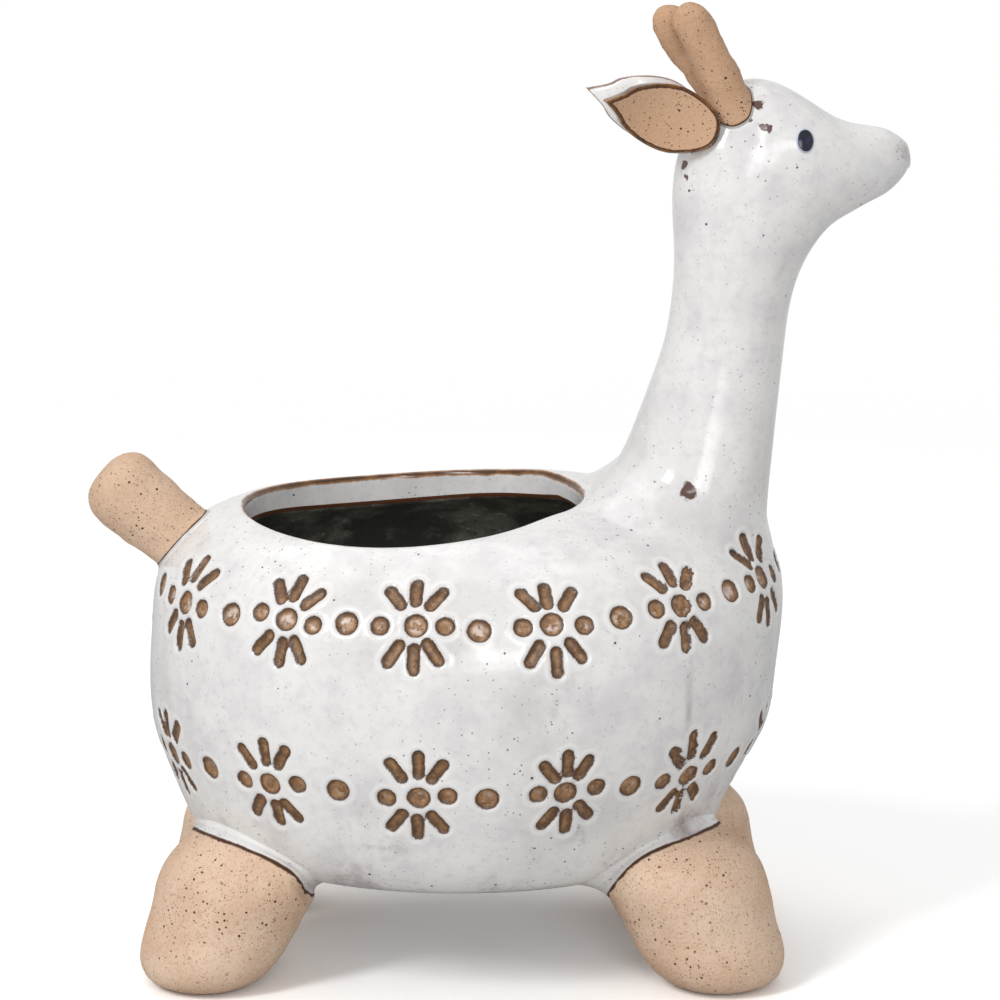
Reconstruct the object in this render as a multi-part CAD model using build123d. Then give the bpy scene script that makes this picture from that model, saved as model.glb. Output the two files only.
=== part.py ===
from build123d import *

import math
import os

# Stoneware giraffe planter: a hollow oval pot on four stub legs, with a neck, a head and a tail
# luted on. +X points towards the snout, +Y to the animal's left and +Z up, with the feet standing
# on Z = 0. Everything is worked out about the pot's upright axis and moved at the end, so that the
# origin lies on the ground under the middle of the whole planter's box. Sizes are in millimetres.

# Pot
ground_clearance = 23.6
pot_length = 145.0
pot_width = 122.0
pot_height = 83.8
pot_wall = 5.5
pot_floor = 7.0
pot_shoulder_wall = 6.0
mouth_diameter = 76.6
mouth_set_back = 12.0
lip_width = 1.8

# Lines of the pot, from its flat foot to its crown: share of the height, and the reach of the
# rear, the front and the sides from the upright axis as shares of the half length and half width
pot_lines = [
    (0.000, 0.640, 0.617, 0.600),
    (0.022, 0.750, 0.709, 0.710),
    (0.070, 0.845, 0.780, 0.800),
    (0.157, 0.900, 0.822, 0.870),
    (0.264, 0.948, 0.880, 0.925),
    (0.371, 0.989, 0.950, 0.970),
    (0.512, 1.000, 0.978, 1.000),
    (0.692, 0.986, 1.000, 0.990),
    (0.802, 0.965, 0.990, 0.930),
    (0.875, 0.915, 0.945, 0.840),
    (0.925, 0.850, 0.870, 0.750),
    (0.961, 0.760, 0.760, 0.650),
    (0.985, 0.640, 0.640, 0.540),
    (1.000, 0.500, 0.500, 0.410),
]

# Drain hole with its stopper
drain_diameter = 13.0
drain_set_back = 2.0
plug_clearance = 0.08
plug_taper = 0.5
plug_flange_diameter = 20.0
plug_flange_thickness = 1.6
plug_proud_below = 1.5
plug_tab_width = 9.0
plug_tab_thickness = 2.6
plug_tab_height = 4.5

# Neck, set in from the pot's front end, and the vent under it that lets it breathe in the kiln
neck_set_in = 20.0
neck_foot_sunk = 3.4
neck_length = 52.7
neck_diameter = 27.8
neck_wall = 5.0
neck_lean = 9.5
vent_diameter = 4.0
vent_behind_neck = 7.5

# Lines of the neck, from its flared foot up: share of the neck's length, and the reach to the rear,
# the front and the sides in shares of the neck's radius
neck_lines = [
    (-0.266, 3.32, 1.18, 2.20),
    (-0.076, 2.71, 1.22, 1.92),
    (0.076, 2.00, 1.12, 1.51),
    (0.171, 1.56, 1.08, 1.25),
    (0.266, 1.27, 1.03, 1.10),
    (0.427, 1.01, 1.00, 0.99),
    (0.683, 0.99, 0.96, 0.96),
    (0.882, 1.00, 0.92, 0.95),
]

# Head, drawn in its side plane from the top of the neck's axis: nape or crown point,
# throat or chin point, and half width, all in shares of the head's length
head_length = 40.0
head_turn = 9.0
head_lines = [
    ((-0.3575, 0.1650), (0.3625, 0.0750), 0.3300),
    ((-0.3725, 0.4575), (0.4600, 0.2325), 0.3400),
    ((-0.3225, 0.7825), (0.5525, 0.3175), 0.3475),
    ((-0.1400, 1.0525), (0.6350, 0.3625), 0.3400),
    ((0.1100, 1.1325), (0.7100, 0.4025), 0.3150),
    ((0.3850, 1.0125), (0.7850, 0.4400), 0.2650),
    ((0.6500, 0.8550), (0.8600, 0.4825), 0.2050),
    ((0.8350, 0.7900), (0.9225, 0.5375), 0.1300),
    ((0.9300, 0.7500), (0.9600, 0.5850), 0.0800),
    ((0.9700, 0.7075), (0.9825, 0.6275), 0.0375),
]
head_turn_steps = [0.3, 0.7]
head_hollow_lines = 5
head_seam_back = (-0.3700, 0.3825)
head_seam_front = (0.4100, 0.1700)

# Ears: dished leaves with one pointed end, rooted at a share of the head's length
ear_length = 27.5
ear_width = 15.0
ear_thickness = 3.4
ear_dish_radius = 24.0
ear_rise = 17.0
ear_flare = 6.0
ear_root = (-0.180, 0.110, 0.865)

# Ossicones, the two blunt horns, rooted at a share of the head's length
ossicone_length = 21.0
ossicone_base_diameter = 9.8
ossicone_tip_diameter = 8.3
ossicone_sunk = 8.0
ossicone_lean = {"left": 37.0, "right": 26.0}
ossicone_root = (-0.1200, 0.1375, 1.1000)

# Eyes: inlaid pellets, placed by a share of the head's length
eye_width = 3.8
eye_height = 5.0
eye_depth = 2.2
eye_proud = 0.4
eye_place = (0.305, 0.820)

# Tail, set in from the pot's rear end and down from its crown
tail_length = 24.5
tail_base_diameter = 14.2
tail_tip_diameter = 18.4
tail_tip_round = 6.0
tail_rise = 40.7
tail_sunk = 12.0
tail_set_in = 8.2
tail_set_down = 11.0

# Legs, which lean in towards the hip by a share of their foot's distance from the pot's axis
foot_set_in = {"front_left": 15.5, "front_right": 13.5, "rear_left": 15.0, "rear_right": 11.9}
foot_set_in_sideways = 31.0
foot_diameter = 31.0
foot_round = 6.5
leg_lean_in = 0.19
hip_sunk = 3.4
hip_diameter = 38.5
hip_round = 10.0

half_length = pot_length / 2
half_width = pot_width / 2
pot_top = ground_clearance + pot_height
floor_top = ground_clearance + pot_floor
hip_height = ground_clearance + hip_sunk
neck_radius = neck_diameter / 2
neck_set_forward = half_length - neck_set_in
neck_foot_height = pot_top - neck_foot_sunk
lean_run = math.tan(math.radians(neck_lean))
ends = {"front": 1, "rear": -1}
sides = {"left": 1, "right": -1}


def oval(rear, front, side, height, turn=0):
    """Level ellipse between a rear and a front reach along X, at a height, its seam turned."""
    return Pos((front + rear) / 2, 0, height) * Ellipse((front - rear) / 2, side, rotation=turn)


def upright(radius, bottom, top, x):
    """Upright round bar between two heights."""
    return Pos(x, 0, (bottom + top) / 2) * Cylinder(radius, top - bottom)


def pot_form(inset, bottom, top):
    """Solid bounded by the pot's lines, drawn in by inset, between two heights."""
    sections = []
    for height, rear, front, side in pot_lines:
        sections.append(
            oval(
                inset - rear * half_length,
                front * half_length - inset,
                side * half_width - inset,
                bottom + height * (top - bottom),
            )
        )
    return loft(sections)


def neck_axis_x(height):
    """Where the leaning neck's axis lies at a height above the neck's foot level."""
    return neck_set_forward + height * lean_run


head_base = Pos(neck_axis_x(neck_length), 0, neck_foot_height + neck_length)
head_frame = head_base * Rot(0, 0, head_turn)


def neck_sections(inset):
    """Level ovals from the flared foot up to the top of the neck."""
    sections = []
    for share, rear, front, side in neck_lines:
        height = share * neck_length
        middle = neck_axis_x(height)
        sections.append(
            oval(
                middle - rear * neck_radius + inset,
                middle + front * neck_radius - inset,
                side * neck_radius - inset,
                neck_foot_height + height,
                180,
            )
        )
    return sections


def head_section(number, inset):
    """Tilted ellipse across one of the head's lines, with its share of the head's turn."""
    back, front, side = head_lines[number]
    turn = head_turn
    if number < len(head_turn_steps):
        turn = head_turn * head_turn_steps[number]
    back_point = Vector(back[0], 0, back[1]) * head_length
    front_point = Vector(front[0], 0, front[1]) * head_length
    across = front_point - back_point
    middle = (back_point + front_point) / 2
    plane = Plane(middle, x_dir=across, z_dir=across.cross(Vector(0, 1, 0)))
    sketch = plane * Ellipse(across.length / 2 - inset, side * head_length - inset, rotation=180)
    return head_base * Rot(0, 0, turn) * sketch


def neck_and_head(inset, head_count):
    """Neck and head in one sweep, drawn in by inset, as far as a number of the head's lines."""
    sections = neck_sections(inset)
    for number in range(head_count):
        sections.append(head_section(number, inset))
    return loft(sections)


def turned_bar(profile):
    """Solid turned about the Z axis from a closed outline of radii and heights."""
    return revolve(make_face(profile), Axis.Z)


def blunt_bar(base_radius, tip_radius, bottom, top, tip_round):
    """Tapered bar along Z with a rounded free end."""
    shoulder = top - tip_round
    crown = tip_radius - tip_round
    outline = Line((0, bottom), (base_radius, bottom))
    outline += Line((base_radius, bottom), (tip_radius, shoulder))
    outline += RadiusArc((tip_radius, shoulder), (crown, top), -tip_round)
    if crown > 0:
        outline += Line((crown, top), (0, top))
    outline += Line((0, top), (0, bottom))
    return turned_bar(Plane.XZ * outline)


def build_pot(outer):
    """Hollow pot with its mouth, drain hole and vent."""
    cavity = pot_form(pot_wall, floor_top, pot_top - pot_shoulder_wall)
    middle = (floor_top + pot_top) / 2
    mouth = upright(mouth_diameter / 2, middle, pot_top + pot_wall, -mouth_set_back)
    drain = upright(drain_diameter / 2, 0, middle, -drain_set_back)
    vent_x = neck_set_forward - vent_behind_neck
    vent = upright(vent_diameter / 2, middle, pot_top + pot_wall, vent_x)
    return outer - cavity - mouth - drain - vent


def build_plug():
    """Rubber stopper of the drain hole: tapered stem, flange on the floor and a pull tab."""
    x = -drain_set_back
    stem_radius = drain_diameter / 2 - plug_clearance
    stem_length = pot_floor + plug_proud_below
    stem_middle = floor_top - stem_length / 2
    stem = Pos(x, 0, stem_middle) * Cone(stem_radius - plug_taper, stem_radius, stem_length)
    flange = upright(plug_flange_diameter / 2, floor_top, floor_top + plug_flange_thickness, x)
    tab_middle = floor_top + plug_flange_thickness + plug_tab_height / 2
    tab = Pos(x, 0, tab_middle) * Box(plug_tab_width, plug_tab_thickness, plug_tab_height)
    return stem + flange + tab


def build_leg(end, side, pot_outer):
    """Leg leaning in from its foot to the pot, cut to the pot's surface where it is luted on."""
    foot_x = ends[end] * (half_length - foot_set_in[end + "_" + side])
    foot_y = sides[side] * (half_width - foot_set_in_sideways)
    foot_radius = foot_diameter / 2
    hip_radius = hip_diameter / 2
    heights = [0, 0.12 * foot_round, 0.45 * foot_round, foot_round]
    heights += [(foot_round + hip_height) / 2, hip_height]
    heights += [hip_height + share * hip_round for share in (0.45, 0.80, 0.97)]
    sections = []
    for height in heights:
        climb = height / hip_height
        radius = foot_radius + climb * (hip_radius - foot_radius)
        drop = foot_round - height
        rise = (height - hip_height) / hip_round
        if drop > 0:
            radius -= foot_round - math.sqrt(foot_round**2 - drop**2)
        if rise > 0:
            radius = hip_radius * math.sqrt(1 - rise**2)
        stay = 1 - climb * leg_lean_in
        sections.append(Pos(foot_x * stay, foot_y * stay, height) * Circle(radius))
    return loft(sections) - pot_outer


def build_tail(pot_outer):
    """Blunt tail, thicker at its free end, cut to the pot's surface."""
    bar = blunt_bar(
        tail_base_diameter / 2,
        tail_tip_diameter / 2,
        -tail_sunk,
        tail_length,
        tail_tip_round,
    )
    root = Pos(tail_set_in - half_length, 0, pot_top - tail_set_down)
    return root * Rot(0, tail_rise - 90, 0) * bar - pot_outer


def head_place(root, side):
    """Point given by a share of the head's length, on the left or the right."""
    x, y, z = root
    return Vector(x, sides[side] * y, z) * head_length


def build_ossicone(side, head_outer):
    """Blunt horn standing on the crown, cut to the head's surface."""
    bar = blunt_bar(
        ossicone_base_diameter / 2,
        ossicone_tip_diameter / 2,
        -ossicone_sunk,
        ossicone_length,
        ossicone_tip_diameter / 2,
    )
    root = Pos(*head_place(ossicone_root, side))
    return head_frame * root * Rot(0, -ossicone_lean[side], 0) * bar - head_outer


def build_ear(side, head_outer):
    """Dished leaf, hollow side outwards, cut to the head's surface."""
    upper = Spline(
        (0, 0),
        (0.14 * ear_length, 0.38 * ear_width),
        (0.42 * ear_length, 0.50 * ear_width),
        (0.78 * ear_length, 0.27 * ear_width),
        (ear_length, 0),
        tangents=[(0, 1), (1, -0.5)],
    )
    leaf = make_face(upper + mirror(upper, Plane.XZ))
    block = extrude(leaf, ear_dish_radius / 2, both=True)
    outer_ball = Sphere(ear_dish_radius + ear_thickness / 2)
    inner_ball = Sphere(ear_dish_radius - ear_thickness / 2)
    dish = block & Pos(ear_length / 2, 0, ear_dish_radius) * (outer_ball - inner_ball)
    outward = sides[side]
    rise = math.radians(ear_rise)
    flare = math.radians(ear_flare) * outward
    level = math.cos(rise)
    along = Vector(-level * math.cos(flare), level * math.sin(flare), math.sin(rise))
    upwards = Vector(math.sin(rise), 0, level)
    face_out = along.cross(upwards) * outward
    place = Plane(head_place(ear_root, side), x_dir=along, z_dir=face_out).location
    return head_frame * place * dish - head_outer


def build_eye(side, head_outer):
    """Oval pellet inlaid square to the cheek."""
    x, z = eye_place
    middle = head_frame * Pos(x * head_length, 0, z * head_length)
    start = middle * Pos(0, sides[side] * pot_width, 0)
    inwards = middle.position - start.position
    point, normal = head_outer.find_intersection_points(Axis(start.position, inwards))[0]
    plane = Plane(point, x_dir=normal.cross(Vector(0, 0, 1)), z_dir=normal)
    outline = plane.offset(-eye_depth) * Ellipse(eye_width / 2, eye_height / 2)
    return extrude(outline, eye_depth + eye_proud, dir=normal)


pot_outer = pot_form(0, ground_clearance, pot_top)
head_outer = neck_and_head(0, len(head_lines))
mouth_clear_radius = mouth_diameter / 2 + lip_width
mouth_clear = upright(mouth_clear_radius, ground_clearance, 2 * pot_top, -mouth_set_back)
hollow = neck_and_head(neck_wall, head_hollow_lines)
luted = head_outer - pot_outer - mouth_clear - hollow

seam_back = head_base * Pos(head_seam_back[0] * head_length, 0, head_seam_back[1] * head_length)
seam_front = head_base * Pos(head_seam_front[0] * head_length, 0, head_seam_front[1] * head_length)
seam_run = seam_front.position - seam_back.position
seam = Plane(seam_back.position, x_dir=seam_run, z_dir=seam_run.cross(Vector(0, 1, 0)))

planter = {
    "pot_bowl": build_pot(pot_outer),
    "neck": split(luted, bisect_by=seam, keep=Keep.BOTTOM),
    "head": split(luted, bisect_by=seam, keep=Keep.TOP),
    "tail": build_tail(pot_outer),
    "drain_plug": build_plug(),
}
for side in sides:
    planter["ossicone_" + side] = build_ossicone(side, head_outer)
    planter["ear_" + side] = build_ear(side, head_outer) - planter["ossicone_" + side]
    planter["eye_" + side] = build_eye(side, head_outer)
    planter["head"] -= planter["eye_" + side]
    for end in ends:
        planter["leg_" + end + "_" + side] = build_leg(end, side, pot_outer)

box = Compound(children=[Part() + piece for piece in planter.values()]).bounding_box()
shift = Pos(-box.center().X, -box.center().Y, -box.min.Z)

os.makedirs("parts", exist_ok=True)
for name, piece in planter.items():
    export_step(shift * piece, "parts/" + name + ".step")
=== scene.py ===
import math
import bpy
import numpy as np
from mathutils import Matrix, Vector, noise
from mathutils.bvhtree import BVHTree
from mathutils.kdtree import KDTree


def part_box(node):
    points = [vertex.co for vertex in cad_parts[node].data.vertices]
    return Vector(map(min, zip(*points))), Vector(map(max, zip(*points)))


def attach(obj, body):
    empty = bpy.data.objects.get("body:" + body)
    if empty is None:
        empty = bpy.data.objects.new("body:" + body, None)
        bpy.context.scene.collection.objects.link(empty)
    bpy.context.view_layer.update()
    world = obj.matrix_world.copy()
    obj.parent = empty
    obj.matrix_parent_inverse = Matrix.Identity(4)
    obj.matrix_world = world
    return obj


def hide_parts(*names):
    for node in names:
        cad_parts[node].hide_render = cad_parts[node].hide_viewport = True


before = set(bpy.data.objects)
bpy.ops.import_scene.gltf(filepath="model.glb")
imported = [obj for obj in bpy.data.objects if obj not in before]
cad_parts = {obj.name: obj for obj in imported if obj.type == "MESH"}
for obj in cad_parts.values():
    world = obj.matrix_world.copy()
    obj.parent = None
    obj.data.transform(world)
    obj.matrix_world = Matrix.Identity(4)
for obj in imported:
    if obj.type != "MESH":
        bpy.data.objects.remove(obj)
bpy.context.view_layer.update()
mm = 0.001  # shapes are worked out in millimetres and written in metres
print("frame loaded:", len(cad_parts), "nodes")


# Mesh tools

def gather(meshes):  # points in millimetres and faces of some meshes together
    points, faces = [], []
    for mesh in meshes:
        start = len(points)
        points += [vertex.co / mm for vertex in mesh.vertices]
        faces += [[start + i for i in face.vertices] for face in mesh.polygons]
    return points, faces


def searchTree(*nodes):  # surfaces of some nodes to cast rays on
    return BVHTree.FromPolygons(*gather(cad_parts[name].data for name in nodes))


def boxOf(node):
    low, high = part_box(node)
    return low / mm, high / mm


def ringFaces(rows, columns):  # quads of a grid that is closed round its columns
    index = np.arange(rows * columns).reshape(rows, columns)
    after = np.roll(index, -1, axis=1)
    return np.stack([index[:-1], after[:-1], after[1:], index[1:]], axis=-1).reshape(-1, 4).tolist()


def addObject(name, data):
    made = bpy.data.objects.new(name, data)
    bpy.context.scene.collection.objects.link(made)
    return made


def addMarks(mesh, marks):  # values on the points, which the finishes read
    for key, values in marks.items():
        layer = mesh.attributes.new(key, "FLOAT", "POINT")
        layer.data.foreach_set("value", np.asarray(values, np.float32).ravel())


def newPiece(name, points, faces, flip=False, **marks):
    if flip:
        faces = [face[::-1] for face in faces]
    mesh = bpy.data.meshes.new(name)
    mesh.from_pydata((np.asarray(points, float) * mm).tolist(), [], faces)
    addMarks(mesh, marks)
    mesh.shade_smooth()
    return addObject(name, mesh)


def keepShape(piece):  # puts the result of a piece's modifiers in a plain mesh
    depsgraph = bpy.context.evaluated_depsgraph_get()
    mesh = bpy.data.meshes.new_from_object(piece.evaluated_get(depsgraph))
    piece.modifiers.clear()
    piece.data = mesh
    mesh.name = piece.name


def gridPiece(name, grid, flip=False, poleStart=None, poleEnd=None, **marks):
    rows, columns = grid.shape[:2]
    points = grid.reshape(-1, 3).tolist()
    faces = ringFaces(rows, columns)
    marks = {key: np.asarray(values, float).reshape(-1).tolist() for key, values in marks.items()}
    for pole, first in ((poleStart, 0), (poleEnd, (rows - 1) * columns)):
        if pole is None:
            continue
        tip = len(points)
        points.append(list(pole))
        for values in marks.values():
            values.append(values[first])
        for i in range(columns):
            pair = [first + i, first + (i + 1) % columns]
            faces.append([tip] + (pair[::-1] if first == 0 else pair))
    return newPiece(name, points, faces, flip, **marks)


def finishPiece(piece, material, slot, *nodes, body="planter"):
    piece.data.materials.clear()
    piece.data.materials.append(material)
    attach(piece, body)
    if nodes:
        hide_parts(*nodes)
    piece.data.calc_loop_triangles()
    print("piece:", piece.name, len(piece.data.loop_triangles), "triangles")


# Smoothing of sampled surfaces, so that no facet of the frame shows in the gloss

def softenRows(values, width):  # bell-shaped average along the rows
    reach = int(3 * width) + 1
    weights = np.exp(-0.5 * (np.arange(-reach, reach + 1) / width) ** 2)
    weights /= weights.sum()
    edges = [(reach, reach)] + [(0, 0)] * (values.ndim - 1)
    padded = np.pad(values, edges, mode="reflect", reflect_type="odd")
    return sum(weight * padded[i:i + len(values)] for i, weight in enumerate(weights))


def softenRound(values, waves, columns):  # keeps a number of waves round a ring
    spectrum = np.fft.rfft(values, axis=1)
    order = np.arange(spectrum.shape[1]).reshape((1, -1) + (1,) * (values.ndim - 2))
    spectrum = spectrum * np.exp(-((order / waves) ** 4))
    return np.fft.irfft(spectrum, n=columns, axis=1) * columns / values.shape[1]


def refineRows(values, factor):  # cubic points between the rows
    padded = np.pad(values, [(1, 1)] + [(0, 0)] * (values.ndim - 1), mode="reflect", reflect_type="odd")
    a, b, c, d = padded[:-3], padded[1:-2], padded[2:-1], padded[3:]
    steps = []
    for u in np.arange(factor) / factor:
        bend = (2 * a - 5 * b + 4 * c - d) * u**2 + (3 * b - a - 3 * c + d) * u**3
        steps.append(0.5 * (2 * b + (c - a) * u + bend))
    fine = np.stack(steps, axis=1).reshape((-1,) + values.shape[1:])
    return np.concatenate([fine, values[-1:]])


def easeRows(grid, width, fadeIn, fadeOut):  # softens the rows, except at both ends
    row = np.arange(len(grid))
    mix = np.clip((row - 1) / fadeIn, 0, 1) * np.clip((len(grid) - 1 - row) / fadeOut, 0, 1)
    return grid + (softenRows(grid, width) - grid) * mix[:, None, None]


def bend3(start, corner, end, steps):  # quadratic curve from start to end, pulled to the corner
    u = np.linspace(0, 1, steps).reshape((-1,) + (1,) * start.ndim)
    return (1 - u) ** 2 * start + 2 * u * (1 - u) * corner + u**2 * end


def lengthAlong(across, up):  # length of a profile up to each of its points
    return np.concatenate([[0], np.cumsum(np.hypot(np.diff(across), np.diff(up)))])


def ringRays(across, side, columns):  # directions round a piece
    turns = [2 * math.pi * k / columns for k in range(columns)]
    return [across * math.cos(turn) + side * math.sin(turn) for turn in turns]


# Shader and geometry node maths

class Wire:
    def __init__(self, tree, socket=None):
        self.tree = tree
        self.socket = socket

    def node(self, kind, settings=None, sockets=None, out=0):
        made = self.tree.nodes.new(kind)
        for key, value in (settings or {}).items():
            setattr(made, key, value)
        for key, value in (sockets or {}).items():
            if isinstance(value, Wire):
                self.tree.links.new(value.socket, made.inputs[key])
            else:
                made.inputs[key].default_value = value
        return None if out is None else Wire(self.tree, made.outputs[out])

    def other(self, name):  # another output of the same node
        return Wire(self.tree, self.socket.node.outputs[name])

    def maths(self, operation, *values):
        return self.node("ShaderNodeMath", {"operation": operation}, dict(enumerate(values)))

    def __add__(self, value):
        return self.maths("ADD", self, value)

    def __radd__(self, value):
        return self.maths("ADD", value, self)

    def __sub__(self, value):
        return self.maths("SUBTRACT", self, value)

    def __rsub__(self, value):
        return self.maths("SUBTRACT", value, self)

    def __mul__(self, value):
        return self.maths("MULTIPLY", self, value)

    def __rmul__(self, value):
        return self.maths("MULTIPLY", value, self)

    def __truediv__(self, value):
        return self.maths("DIVIDE", self, value)

    def __rtruediv__(self, value):
        return self.maths("DIVIDE", value, self)

    def atLeast(self, value):
        return self.maths("MAXIMUM", self, value)

    def atMost(self, value):
        return self.maths("MINIMUM", self, value)

    def step(self, low, high):  # soft step from 0 at low to 1 at high
        ends = {0: self, 1: min(low, high), 2: max(low, high)}
        ends.update({3: 0.0, 4: 1.0} if low < high else {3: 1.0, 4: 0.0})
        return self.node("ShaderNodeMapRange", {"interpolation_type": "SMOOTHSTEP"}, ends)

    def band(self, middle, half):  # 1 at the middle, 0 from half the width away
        return self.step(middle - half, middle) * self.step(middle + half, middle)

    def blend(self, under, over):  # this value mixes two colours
        return self.node("ShaderNodeMix", {"data_type": "RGBA"}, {0: self, 6: under, 7: over}, out=2)


def rgb(red, green, blue):  # screen colour from 0 to 255, as light
    def light(value):
        share = value / 255
        return share / 12.92 if share <= 0.04045 else ((share + 0.055) / 1.055) ** 2.4
    return (light(red), light(green), light(blue), 1.0)


class Finish(Wire):  # a material's own tree with the reads that every finish needs
    def __init__(self, name):
        self.material = bpy.data.materials.new(name)
        self.material.use_nodes = True
        super().__init__(self.material.node_tree)
        self.tree.nodes.clear()
        self.place = self.node("ShaderNodeTexCoord", out="Object")

    def cloud(self, scale, detail=3.0, rough=0.55):
        sockets = {"Vector": self.place, "Scale": scale, "Detail": detail, "Roughness": rough}
        return self.node("ShaderNodeTexNoise", {"noise_dimensions": "3D"}, sockets)

    def grit(self, scale, share, size):  # round specks in a share of the cells
        sockets = {"Vector": self.place, "Scale": scale, "Randomness": 1.0}
        cell = self.node("ShaderNodeTexVoronoi", {"feature": "F1"}, sockets)
        pick = self.node("ShaderNodeSeparateColor", {}, {0: cell.other("Color")})
        near = size * (0.35 + 0.65 * pick.other("Green"))
        return (near - cell).step(0.0, 0.03) * pick.step(1 - share, 1 - share + 0.001)

    def strayed(self, amount, scale):  # places moved about, for ragged shapes
        sockets = {"Vector": self.place, "Scale": scale, "Detail": 3.0}
        shift = self.node("ShaderNodeTexNoise", {"noise_dimensions": "3D"}, sockets, out="Color")
        shift = self.node("ShaderNodeVectorMath", {"operation": "SUBTRACT"}, {0: shift, 1: (0.5, 0.5, 0.5)})
        shift = self.node("ShaderNodeVectorMath", {"operation": "SCALE"}, {0: shift, 3: amount})
        return self.node("ShaderNodeVectorMath", {"operation": "ADD"}, {0: self.place, 1: shift})

    def near(self, point, reach, place=None):  # 1 at a place on the surface, 0 from a reach away
        sockets = {0: place or self.place, 1: point}
        gap = self.node("ShaderNodeVectorMath", {"operation": "DISTANCE"}, sockets, out="Value")
        return gap.step(reach, 0.0)

    def strongest(self, value, spots, place=None):  # a value, or a spot's strength where that is more
        for point, reach, strength in spots:
            spot = self.near(point, reach, place) * strength
            value = spot if value is None else value.atLeast(spot)
        return value

    def mark(self, name):
        return self.node("ShaderNodeAttribute", {"attribute_name": name}, out="Fac")

    def bump(self, height, distance, strength=1.0, under=None):
        sockets = {"Height": height, "Distance": distance, "Strength": strength}
        if under is not None:
            sockets["Normal"] = under
        return self.node("ShaderNodeBump", {}, sockets)

    def finish(self, shader):
        self.node("ShaderNodeOutputMaterial", {}, {"Surface": shader}, out=None)
        return self.material


# Finishes

glazeLook = {
    "white": rgb(243, 242, 240),
    "lilac": rgb(208, 204, 209),
    "warmGrey": rgb(203, 197, 192),
    "iron": rgb(128, 86, 56),
    "ironSpot": rgb(82, 44, 27),
    "speck": rgb(52, 40, 36),
    "smudge": rgb(138, 112, 110),
    "seam": rgb(140, 132, 130),
    "stampFloor": rgb(168, 126, 84),
    "stampDeep": rgb(112, 78, 46),
    "stampEdge": rgb(74, 48, 28),
    "stampPoolAndSheen": rgb(232, 212, 200),
    "amber": rgb(150, 98, 44),
}
# Iron spots and speck crowds are blemishes of the kiln; each list holds place in metres, reach in metres and
# strength
ironSpots = [
    ((0.0434, -0.0183, 0.1119), 0.0044, 1.3),
    ((0.0417, -0.0056, 0.1834), 0.0024, 1.3),
    ((0.0423, -0.0073, 0.1807), 0.0020, 1.2),
    ((0.0432, -0.0086, 0.1782), 0.0014, 1.1),
    ((0.0579, -0.0085, 0.1972), 0.0022, 1.2),
    ((0.0567, -0.0102, 0.1941), 0.0013, 1.1),
    ((0.0596, -0.0111, 0.1924), 0.0018, 1.2),
    ((0.0591, -0.0121, 0.1888), 0.0012, 1.1),
    ((0.0596, -0.0129, 0.1844), 0.0011, 1.2),
    ((0.0356, -0.0162, 0.1131), 0.0014, 1.0),
]
speckCrowds = [
    ((0.0565, -0.0160, 0.1016), 0.012, 1.0),
    ((0.0596, -0.0120, 0.1860), 0.014, 0.8),
    ((0.0435, -0.0153, 0.1182), 0.014, 0.8),
    ((-0.0549, -0.0376, 0.0386), 0.012, 1.0),
    ((0.0907, 0.0016, 0.1840), 0.007, 1.0),
]
# Spots of grey-purple blotches, mostly on the low belly near the front legs
greyBlotchPlaces = [
    ((0.0435, -0.0329, 0.0348), 0.022, 1.0),
    ((0.0498, -0.0182, 0.0386), 0.016, 1.0),
    ((0.0141, -0.0494, 0.0375), 0.018, 0.8),
    ((-0.0276, -0.0534, 0.0433), 0.016, 0.8),
    ((0.0139, -0.0586, 0.0742), 0.010, 0.6),
    ((0.0914, 0.0019, 0.1834), 0.006, 1.0),
]
seamLine = {
    "x": 0.0422, "half": 0.0014, "stray": 0.0030, "smear": 0.005,
    "low": 0.030, "high": 0.104, "fade": 0.01, "nearSide": (-0.024, -0.032),
}


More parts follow.
